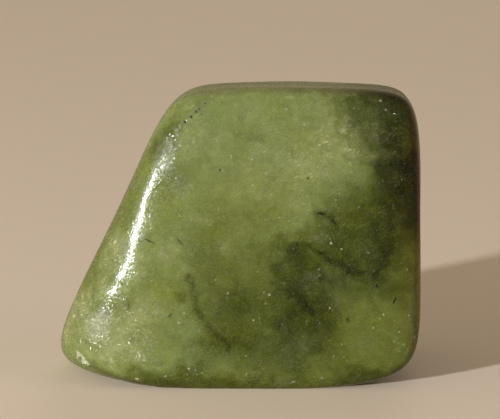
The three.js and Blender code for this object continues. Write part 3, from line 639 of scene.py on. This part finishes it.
jade = {
    "shades": [  # from clear stone to the darkest cloud
        (0.00, (0.150, 0.185, 0.055)),
        (0.33, (0.091, 0.111, 0.021)),
        (0.55, (0.049, 0.063, 0.006)),
        (0.75, (0.023, 0.030, 0.002)),
        (1.00, (0.008, 0.011, 0.001)),
    ],
    "milky": (0.310, 0.325, 0.155),
    "oilTint": (1.05, 0.97, 0.38),
    "black": (0.006, 0.008, 0.004),
    "rust": (0.032, 0.011, 0.003),
    "fibre": (0.56, 0.58, 0.38),
    "white": (0.62, 0.64, 0.46),
    "fresh": (0.46, 0.48, 0.34),
    "wisps": (0.8, 5.0, 0.62),  # strands that thin and thicken the clouds: scale per mm, detail, roughness
    "wispStrength": (0.75, 1.22),  # the least and the most share of a cloud's cover
    "patches": (0.36, 4.0, 0.62),  # small clear yellowish and milky patches
    "patchStrength": (0.6, 0.22),
    "curds": (1.1, 4.0, 0.6),  # lumps in the milky patches
    "curdStrength": (0.45, 1.1),
    "mottle": (1.3, 7.0, 0.78),  # fine mottling all over
    "mottleStrength": (0.74, 1.28),
    "lean": -38,  # the fibres, flecks and grains lean up to the right
    "fibreSize": (0.8, 0.6, 0.11),
    "fibreEdge": (0.36, 0.12),
    "fibrePlaces": (0.9, 3.0, 0.6),
    "fibreStrength": (0.10, 0.80),  # in clear and in milky stone
    "fleckSize": (0.62, 0.5, 0.32),
    "fleckEdge": (0.24, 0.06),
    "fleckPlaces": (0.55, 2.0, 0.5),
    "fleckStrength": 0.7,
    "edgeDrift": (0.5, 1.6),  # how each kind of mark wanders: scale per mm and reach
    "fibreDrift": (0.4, 1.5),
    "fleckDrift": (2.5, 0.4),
    "hairlineDrift": (1.5, 0.25),
    "speckDrift": (6.0, 0.3),
    "speckWear": (2.3, 2.0, 0.5),
    "speckStrength": (0.25, 0.8),
    "speckDepth": 5,  # the specks reach this many times deeper than they are wide
    "crumbs": (4.0, 3.0, 0.7),  # pale crumbs in the fresh breaks
    "crumbStrength": (0.45, 0.95),
    "polish": (0.10, 0.33),  # roughness of the smoothest grains and of the roughest ones
    "dullPolish": (0.32, 0.56),  # the same where the polish is dull
    "breakPolish": 0.5,
    "pitPolish": 0.7,
    "grainsPerMm": 10.0,
    "grainSize": (1.3, 1.0, 0.9),
    "grainLean": (0.052, 0.16),  # slope of the grains where the polish is whole and where it is dull
    "rareLean": 3.2,  # how much further the rarest grains lean
    "farSides": (-4.5, -1.5),  # from here backwards the polish is calmer
    "farLean": 0.4,  # share of the grains' lean there
    "farPolish": 0.25,  # and the least roughness
    "refraction": 1.61,
    "glow": (0.6, 0.1),  # how much light the stone scatters inside, in clear stone and at a pit or fibre
    "scatterDepth": 1.4,
    "scatterShares": (1.0, 1.1, 0.45),  # of red, green and blue light
}


# each cloud takes its share of what the clouds before it left clear
def cloudCover(points, clouds):
    clear = np.ones(len(points))
    for middle, size, lean, strength, core in clouds:
        away = points - np.array(middle)
        turn = math.radians(lean)
        across = away[:, 0] * math.cos(turn) - away[:, 2] * math.sin(turn)
        high = away[:, 0] * math.sin(turn) + away[:, 2] * math.cos(turn)
        reach = np.sqrt((across / size[0]) ** 2 + (away[:, 1] / size[1]) ** 2 + (high / size[2]) ** 2)
        fade = np.clip((1 - reach) / (1 - core), 0, 1)
        clear *= 1 - strength * fade * fade * (3 - 2 * fade)
    return 1 - clear


def veinCover(points, veins):
    clear = np.ones(len(points))
    for corners, width, strength in veins:
        near = np.full(len(points), np.inf)
        for start, end in zip(corners, corners[1:]):
            along = np.array(end) - np.array(start)
            away = points - np.array(start)
            share = np.clip(away @ along / (along @ along), 0, 1)
            near = np.minimum(near, np.linalg.norm(away - share[:, None] * along, axis=1))
        fade = np.clip(1 - near / width, 0, 1)
        clear *= 1 - strength * fade * fade * (3 - 2 * fade)
    return 1 - clear


def colourClouds(stone):
    corners = np.empty(3 * len(stone.data.vertices))
    stone.data.vertices.foreach_get("co", corners)
    points = corners.reshape(-1, 3) / mm
    drift = np.zeros_like(points)
    for index, point in enumerate(points):
        spot = Vector(point)
        for scale, reach in cloudDrift:
            drift[index] += reach * np.array(noise.noise_vector(spot * scale))
    wandering = points + drift
    steady = points + veinDrift * drift
    veined = veinCover(steady, veins)
    covers = {
        "darkness": 1 - (1 - cloudCover(wandering, darkCloudsAndPaintedShade)) * (1 - veined),
        "milk": cloudCover(wandering, milkyClouds) * (1 - veined),
        "oil": cloudCover(wandering, oilyClouds),
        "scuff": cloudCover(steady, scuffs),
    }
    for name, cover in covers.items():
        layer = stone.data.attributes.new(name, "FLOAT", "POINT")
        layer.data.foreach_set("value", cover)
    print("stone: clouds laid out")


# thin dark lines, each written like a cloud
def lineCover(tree, place, lines):
    clear = 1.0
    for middle, size, lean, strength, core in lines:
        away = vectorCalc(tree, "DISTANCE", turned(tree, place, lean, size, middle), (0, 0, 0))
        clear = calc(tree, "MULTIPLY", clear, ranged(tree, away, core, 1.0, 1.0 - strength, 1.0))
    return calc(tree, "SUBTRACT", 1.0, clear)


def speckCover(tree, place, points):
    squash = 1 / jade["speckDepth"]
    flat = vectorCalc(tree, "MULTIPLY", place, (1.0, squash, 1.0))
    cover = 0.0
    for (x, y, z), radius in points:
        away = vectorCalc(tree, "DISTANCE", flat, (x, squash * y, z))
        cover = calc(tree, "MAXIMUM", cover, ranged(tree, away, radius, 0.0))
    return cover


# the clouds and the painted shade along the bottom and right edges, with clear yellowish and milky patches
# a few millimetres across
def cloudedAndShaded(tree, place):
    cloudy = drifted(tree, place, jade["edgeDrift"])
    wisps = noised(tree, cloudy, jade["wisps"]).outputs[0]
    wisps = ranged(tree, wisps, 0.25, 0.75, *jade["wispStrength"], "LINEAR")
    cover = calc(tree, "MULTIPLY", painted(tree, "darkness"), wisps)
    ramp = addNode(tree, "ShaderNodeValToRGB", {0: cover})
    ramp.color_ramp.elements.remove(ramp.color_ramp.elements[1])
    for index, (stop, shade) in enumerate(jade["shades"]):
        element = ramp.color_ramp.elements[0] if index == 0 else ramp.color_ramp.elements.new(stop)
        element.position = stop
        element.color = (*shade, 1.0)
    patches = noised(tree, cloudy, jade["patches"]).outputs[0]
    oilStrength, milkStrength = jade["patchStrength"]
    oil = calc(tree, "MAXIMUM", painted(tree, "oil"), ranged(tree, patches, 0.50, 0.72, 0.0, oilStrength))
    shade = blend(tree, oil, ramp.outputs[0], jade["oilTint"], "MULTIPLY")
    thin = ranged(tree, patches, 0.50, 0.28, 0.0, milkStrength)
    thin = calc(tree, "MULTIPLY", thin, calc(tree, "SUBTRACT", 1.0, cover))
    curds = ranged(tree, noised(tree, cloudy, jade["curds"]).outputs[0], 0.35, 0.7, *jade["curdStrength"])
    milk = calc(tree, "MULTIPLY", calc(tree, "ADD", painted(tree, "milk"), thin), curds)
    return blend(tree, milk, shade, jade["milky"]), cover, milk


# felted texture: soft mottling, short pale fibres and fine flecks
def felted(tree, place, shade, cover, milk):
    mottle = noised(tree, place, jade["mottle"]).outputs[0]
    mottle = ranged(tree, mottle, 0.3, 0.7, *jade["mottleStrength"], "LINEAR")
    shade = blend(tree, 1.0, shade, grey(tree, mottle), "MULTIPLY")
    strayed = drifted(tree, place, jade["fibreDrift"])
    fibres = cells(tree, turned(tree, strayed, jade["lean"], jade["fibreSize"]))
    felt = ranged(tree, fibres.outputs["Distance"], *jade["fibreEdge"])
    strewn = ranged(tree, noised(tree, place, jade["fibrePlaces"]).outputs[0], 0.40, 0.58)
    felt = calc(tree, "MULTIPLY", felt, strewn)
    felt = calc(tree, "MULTIPLY", felt, ranged(tree, milk, 0.0, 0.5, *jade["fibreStrength"]))
    shade = blend(tree, felt, shade, jade["fibre"])
    strayed = drifted(tree, place, jade["fleckDrift"])
    flecks = cells(tree, turned(tree, strayed, jade["lean"], jade["fleckSize"]))
    chosen = addNode(tree, "ShaderNodeSeparateColor", {0: flecks.outputs["Color"]}).outputs[0]
    chosen = ranged(tree, chosen, 0.5, 0.95)  # about half of the flecks show
    gathered = noised(tree, place, jade["fleckPlaces"]).outputs[0]
    chosen = calc(tree, "MULTIPLY", chosen, ranged(tree, gathered, 0.44, 0.62, 0.06, 1.0))
    chosen = calc(tree, "MULTIPLY", chosen, ranged(tree, cover, 0.2, 0.8, 1.0, 0.5))  # fewer in dark stone
    amount = calc(tree, "MULTIPLY", ranged(tree, flecks.outputs["Distance"], *jade["fleckEdge"]), chosen)
    amount = calc(tree, "MULTIPLY", amount, jade["fleckStrength"])
    return blend(tree, amount, shade, jade["fibre"]), felt


# hairlines, specks, pits and fresh breaks, and where they close the stone to light
def marked(tree, place, shade):
    lined = lineCover(tree, drifted(tree, place, jade["hairlineDrift"]), hairlines)
    shade = blend(tree, lined, shade, jade["black"])
    white = speckCover(tree, drifted(tree, place, jade["speckDrift"]), specks)
    worn = noised(tree, place, jade["speckWear"]).outputs[0]
    white = calc(tree, "MULTIPLY", white, ranged(tree, worn, 0.35, 0.65, *jade["speckStrength"]))
    shade = blend(tree, white, shade, jade["white"])
    rusty = speckCover(tree, place, rustSpots)
    shade = blend(tree, rusty, shade, jade["rust"])
    pit = painted(tree, "pit")
    shade = blend(tree, pit, shade, jade["black"])
    crumbs = noised(tree, place, jade["crumbs"]).outputs[0]
    crumbs = ranged(tree, crumbs, 0.30, 0.60, *jade["crumbStrength"])
    shade = blend(tree, calc(tree, "MULTIPLY", painted(tree, "freshBreak"), crumbs), shade, jade["fresh"])
    closed = lined
    for mark in (white, rusty, pit):
        closed = calc(tree, "MAXIMUM", closed, mark)
    return shade, closed


# every grain of the polished face leans its own way, most of them hardly and a few by several degrees
def polished(tree, place):
    alongGrains = turned(tree, place, jade["lean"], jade["grainSize"])
    grains = cells(tree, alongGrains, jade["grainsPerMm"])
    lean = vectorCalc(tree, "SUBTRACT", grains.outputs["Color"], (0.5, 0.5, 0.5))
    within = vectorCalc(tree, "SUBTRACT", alongGrains, grains.outputs["Position"])
    rare = addNode(tree, "ShaderNodeTexWhiteNoise", {"Vector": grains.outputs["Position"]}).outputs["Value"]
    scuff = painted(tree, "scuff")
    backwards = addNode(tree, "ShaderNodeSeparateXYZ", {0: place}).outputs[1]
    far = ranged(tree, backwards, *jade["farSides"])
    height = vectorCalc(tree, "DOT_PRODUCT", lean, within)
    for more in (
        ranged(tree, scuff, 0.0, 1.0, *jade["grainLean"], "LINEAR"),
        ranged(tree, rare, 0.35, 1.0, 1.0, jade["rareLean"]),
        ranged(tree, far, 0.0, 1.0, 1.0, jade["farLean"], "LINEAR"),
    ):
        height = calc(tree, "MULTIPLY", height, more)
    rough = ranged(tree, rare, 0.30, 0.95, *jade["polish"])
    dull = ranged(tree, rare, 0.0, 0.6, *jade["dullPolish"])
    for amount, roughness in (
        (ranged(tree, scuff, 0.15, 0.90), dull),
        (far, jade["farPolish"]),
        (painted(tree, "freshBreak"), jade["breakPolish"]),
        (painted(tree, "pit"), jade["pitPolish"]),
    ):
        rough = calc(tree, "MAXIMUM", rough, calc(tree, "MULTIPLY", amount, roughness))
    bump = addNode(tree, "ShaderNodeBump", {"Height": height, "Strength": 1.0, "Distance": mm})
    return rough, bump.outputs[0]


def nephrite():
    material = bpy.data.materials.new("polishedNephrite")
    material.use_nodes = True
    tree = material.node_tree
    shader = tree.nodes["Principled BSDF"]
    place = vectorCalc(tree, "SCALE", addNode(tree, "ShaderNodeTexCoord").outputs["Object"], 1 / mm)
    shade, cover, milk = cloudedAndShaded(tree, place)
    shade, felt = felted(tree, place, shade, cover, milk)
    shade, closed = marked(tree, place, shade)
    rough, facing = polished(tree, place)
    closed = calc(tree, "MAXIMUM", closed, felt)
    tree.links.new(shade, shader.inputs["Base Color"])
    tree.links.new(rough, shader.inputs["Roughness"])
    tree.links.new(facing, shader.inputs["Normal"])
    tree.links.new(ranged(tree, closed, 0.0, 0.5, *jade["glow"]), shader.inputs["Subsurface Weight"])
    shader.inputs["Subsurface Radius"].default_value = jade["scatterShares"]
    shader.inputs["Subsurface Scale"].default_value = jade["scatterDepth"] * mm
    shader.inputs["IOR"].default_value = jade["refraction"]
    print("stone: nephrite mixed")
    return material


noise.seed_set(pebble["driftSeed"])
stone = smoothed(mergedStone())
carve(stone)
colourClouds(stone)
stone.data.materials.clear()
stone.data.materials.append(nephrite())
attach(stone, "root")
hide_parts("stone")
print("stone: triangles", sum(len(face.vertices) - 2 for face in stone.data.polygons))


studio = {
    "floorReach": 3.0,  # metres, as the sizes and distances of the lamps are
    "floor": (0.82, 0.70, 0.58),
    "floorRoughness": 0.9,
    "floorShine": 0.2,
    "air": (0.32, 0.26, 0.16),
    "frontAir": (0.08, 0.07, 0.05),
    "frontCone": (-0.93, -0.5),  # the front air lies this far towards the front, as the Y of a direction
    "rightAir": (0.18, 0.12, 0.08),
    "rightCone": (0.0, 0.5),
    "lampAim": (0, 0, 13),
    # watts, size, turn from the front to the right, tilt and distance
    "keyLight": (5.15, 0.036, -47, 11, 0.6),
    "sideFill": (2.2, 0.9, 75, 22, 1.2),
    "backFill": (5.4, 0.9, 170, 12, 1.2),
    "lens": 181.3,
    "cameraAim": (0.98, -6.1, 16.0),
    "cameraTilt": 12,
    "cameraDistance": 225,
}


def floor():
    shape = bmesh.new()
    bmesh.ops.create_grid(shape, x_segments=1, y_segments=1, size=studio["floorReach"])
    mesh = bpy.data.meshes.new("floor")
    shape.to_mesh(mesh)
    shape.free()
    ground = bpy.data.objects.new("floor", mesh)
    bpy.context.scene.collection.objects.link(ground)
    paper = bpy.data.materials.new("palePaper")
    paper.use_nodes = True
    shader = paper.node_tree.nodes["Principled BSDF"]
    shader.inputs["Base Color"].default_value = (*studio["floor"], 1.0)
    shader.inputs["Roughness"].default_value = studio["floorRoughness"]
    shader.inputs["Specular IOR Level"].default_value = studio["floorShine"]
    mesh.materials.append(paper)
    ground.visible_glossy = False  # the polish shows the dim studio and not the paper
    print("studio: paper floor laid")


def aimed(thing, start, target):
    thing.location = start
    thing.rotation_euler = (Vector(target) - Vector(start)).to_track_quat("-Z", "Y").to_euler()


def lamp(name):
    watts, size, turn, tilt, distance = studio[name]
    light = bpy.data.lights.new(name, "AREA")
    light.shape = "DISK"
    light.size = size
    light.energy = watts
    holder = bpy.data.objects.new(name, light)
    bpy.context.scene.collection.objects.link(holder)
    turn, tilt = math.radians(turn), math.radians(tilt)
    way = Vector((math.sin(turn) * math.cos(tilt), -math.cos(turn) * math.cos(tilt), math.sin(tilt)))
    target = Vector(studio["lampAim"]) * mm
    aimed(holder, target + way * distance, target)
    return holder


# even air, dimmer towards the front and the right
def studioAir():
    world = bpy.data.worlds.new("studioAir")
    world.use_nodes = True
    tree = world.node_tree
    looking = addNode(tree, "ShaderNodeTexCoord").outputs["Generated"]  # in the air this is the direction
    way = addNode(tree, "ShaderNodeSeparateXYZ", {0: looking})
    aside = ranged(tree, way.outputs[1], *studio["frontCone"])
    air = blend(tree, aside, studio["frontAir"], studio["air"])
    air = blend(tree, ranged(tree, way.outputs[0], *studio["rightCone"]), air, studio["rightAir"])
    tree.links.new(air, tree.nodes["Background"].inputs["Color"])
    bpy.context.scene.world = world


def photoCamera():
    camera = bpy.data.objects.new("camera", bpy.data.cameras.new("camera"))
    bpy.context.scene.collection.objects.link(camera)
    camera.data.sensor_width = 36
    camera.data.lens = studio["lens"]
    camera.data.clip_start = 0.01
    target = Vector(studio["cameraAim"]) * mm
    down = math.radians(studio["cameraTilt"])
    way = Vector((0, -math.cos(down), math.sin(down)))
    aimed(camera, target + way * studio["cameraDistance"] * mm, target)
    bpy.context.scene.camera = camera
    print("studio: camera set")


floor()
lamp("keyLight")
lamp("sideFill").visible_glossy = False
lamp("backFill").visible_glossy = False
studioAir()
bpy.context.scene.view_settings.view_transform = "Standard"
print("studio: lit by", len(bpy.data.lights), "lamps and the air")
photoCamera()
